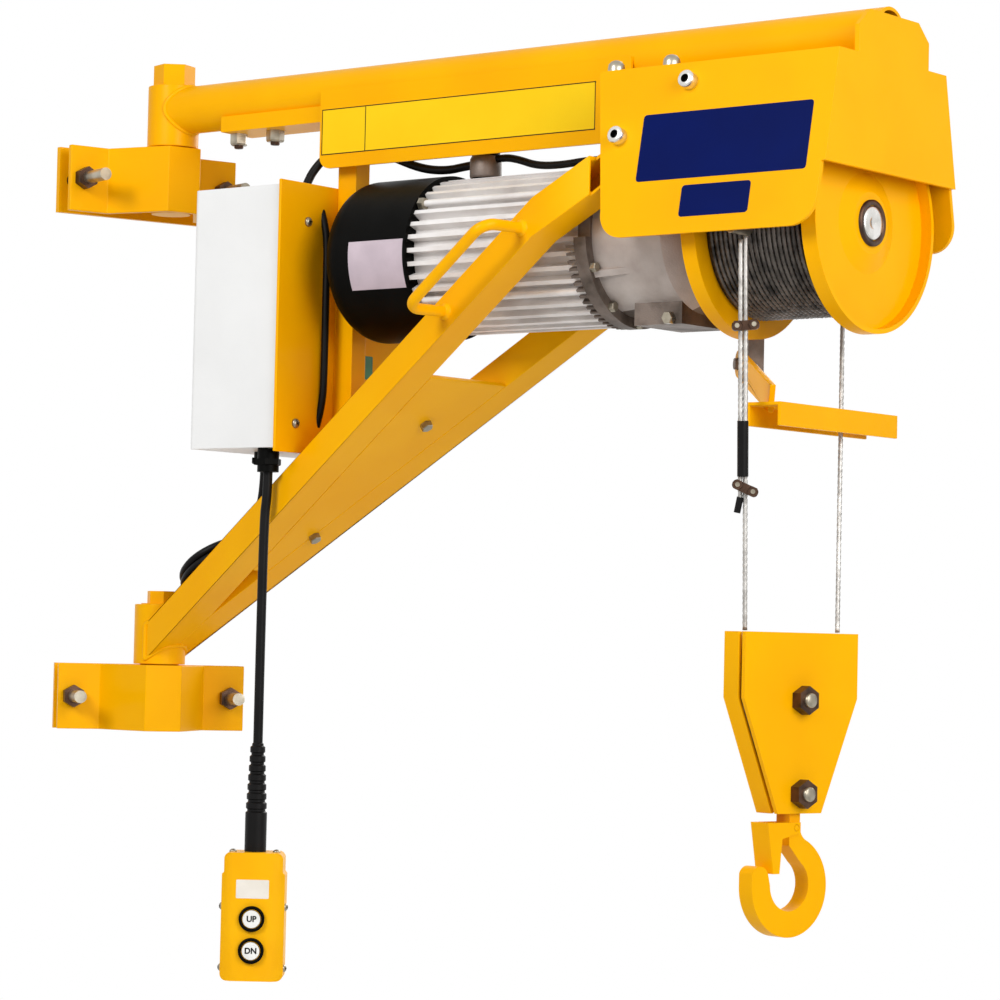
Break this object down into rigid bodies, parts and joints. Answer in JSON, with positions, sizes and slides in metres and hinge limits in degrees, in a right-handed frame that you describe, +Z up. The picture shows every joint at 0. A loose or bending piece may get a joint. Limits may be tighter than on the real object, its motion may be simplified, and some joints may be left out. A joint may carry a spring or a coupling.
{
  "type": "column hoist",
  "caption": "Electric hoist on a swinging jib that hinges on two column clamps, with a rope drum, a two-fall hook block and a hanging push-button station.",
  "frame": {"origin": "middle of the lower clamp back plate's face that grips the column", "axes": "+X out of the column towards the jib, +Z up, +Y to the left seen from the column"},
  "size_m": [0.8319, 0.6684, 0.872],
  "materials": {
    "yellow_paint": "gloss paint",
    "zinc_steel": "zinc plated",
    "black_steel": "blackened",
    "motor_paint": "cast, bare",
    "black_plastic": "matt",
    "white_box": "powder coat",
    "black_rubber": "matt",
    "pendant_plastic": "satin",
    "button_plastic": "satin",
    "wire_rope": "greased wire",
    "sheave_iron": "turned"
  },
  "bodies": {
    "lower_clamp": {"lower_clamp_jaw": "yellow_paint", "lower_clamp_back_plate": "yellow_paint", "lower_clamp_bolts": "zinc_steel", "lower_hinge_pin": "yellow_paint"},
    "upper_clamp": {"upper_clamp_jaw": "yellow_paint", "upper_clamp_back_plate": "yellow_paint", "upper_clamp_bolts": "zinc_steel", "upper_hinge_pin": "yellow_paint"},
    "jib": {"lower_sleeve": "yellow_paint", "upper_sleeve": "yellow_paint", "top_tube": "yellow_paint", "near_strut": "yellow_paint", "far_strut": "yellow_paint", "strut_web_plate": "yellow_paint", "box_post": "yellow_paint", "label_panel": "yellow_paint", "lifting_handle": "yellow_paint", "drum_hood": "yellow_paint", "motor_body": "motor_paint", "motor_fan_cover": "black_plastic", "gear_housing": "motor_paint", "cable_glands": "black_plastic", "control_box": "white_box", "box_back_plate": "yellow_paint", "tube_rail": "yellow_paint", "pendant_cord": "black_rubber", "pendant_boot": "black_rubber", "pendant_body": "pendant_plastic", "power_coil": "black_rubber", "power_lead": "black_rubber", "rope_anchor": "zinc_steel", "dead_fall": "wire_rope", "live_fall": "wire_rope"},
    "drum": {"rope_drum": "yellow_paint", "rope_winding": "wire_rope"},
    "limit_lever": {"limit_lever": "yellow_paint"},
    "hook_block": {"block_front_plate": "yellow_paint", "block_rear_pan": "yellow_paint", "block_axles": "black_steel", "block_sheave": "sheave_iron", "rope_round_sheave": "wire_rope"},
    "hook": {"hook": "yellow_paint"},
    "latch": {"hook_latch": "yellow_paint"},
    "up_button": {"up_button": "button_plastic"},
    "down_button": {"down_button": "button_plastic"}
  },
  "joints": [
    {"name": "jib_swing", "type": "hinge", "parent": "lower_clamp", "child": "jib", "pos_m": [0.059, 0, 0], "axis": [0, 0, 1], "range_deg": [-125, 55]},
    {"name": "upper_clamp_turn", "type": "hinge", "parent": "jib", "child": "upper_clamp", "pos_m": [0.059, 0, 0.505], "axis": [0, 0, 1], "range_deg": [-73, 107]},
    {"name": "hook_hoist", "type": "slide", "parent": "jib", "child": "hook_block", "axis": [0, 0, 1], "range_m": [-1, 0.09], "deforming": ["dead_fall", "live_fall"]},
    {"name": "drum_turn", "type": "hinge", "parent": "jib", "child": "drum", "pos_m": [0.61357, 0.38831, 0.417], "axis": [0.8192, 0.5736, 0], "range_deg": [-1417, 130]},
    {"name": "limit_lever_lift", "type": "hinge", "parent": "jib", "child": "limit_lever", "pos_m": [0.56515, 0.4069, 0.308], "axis": [-0.1392, -0.9903, 0], "range_deg": [0, 8]},
    {"name": "hook_swing", "type": "hinge", "parent": "hook_block", "child": "hook", "pos_m": [0.6664, 0.4192, -0.0595], "axis": [0.9272, 0.3746, 0], "range_deg": [-10, 15]},
    {"name": "latch_turn", "type": "hinge", "parent": "hook", "child": "latch", "pos_m": [0.6664, 0.4192, -0.088], "axis": [0.9272, 0.3746, 0], "range_deg": [0, 30], "stiffness_Nm_per_rad": 0.05},
    {"name": "up_press", "type": "slide", "parent": "jib", "child": "up_button", "axis": [-0.9563, 0.2924, 0], "range_m": [0, 0.0025], "stiffness_N_per_m": 400},
    {"name": "down_press", "type": "slide", "parent": "jib", "child": "down_button", "axis": [-0.9563, 0.2924, 0], "range_m": [0, 0.0025], "stiffness_N_per_m": 400}
  ],
  "couplings": [
    {"joint": "drum_turn", "follows": "hook_hoist", "rad_per_m": 24.691}
  ]
}
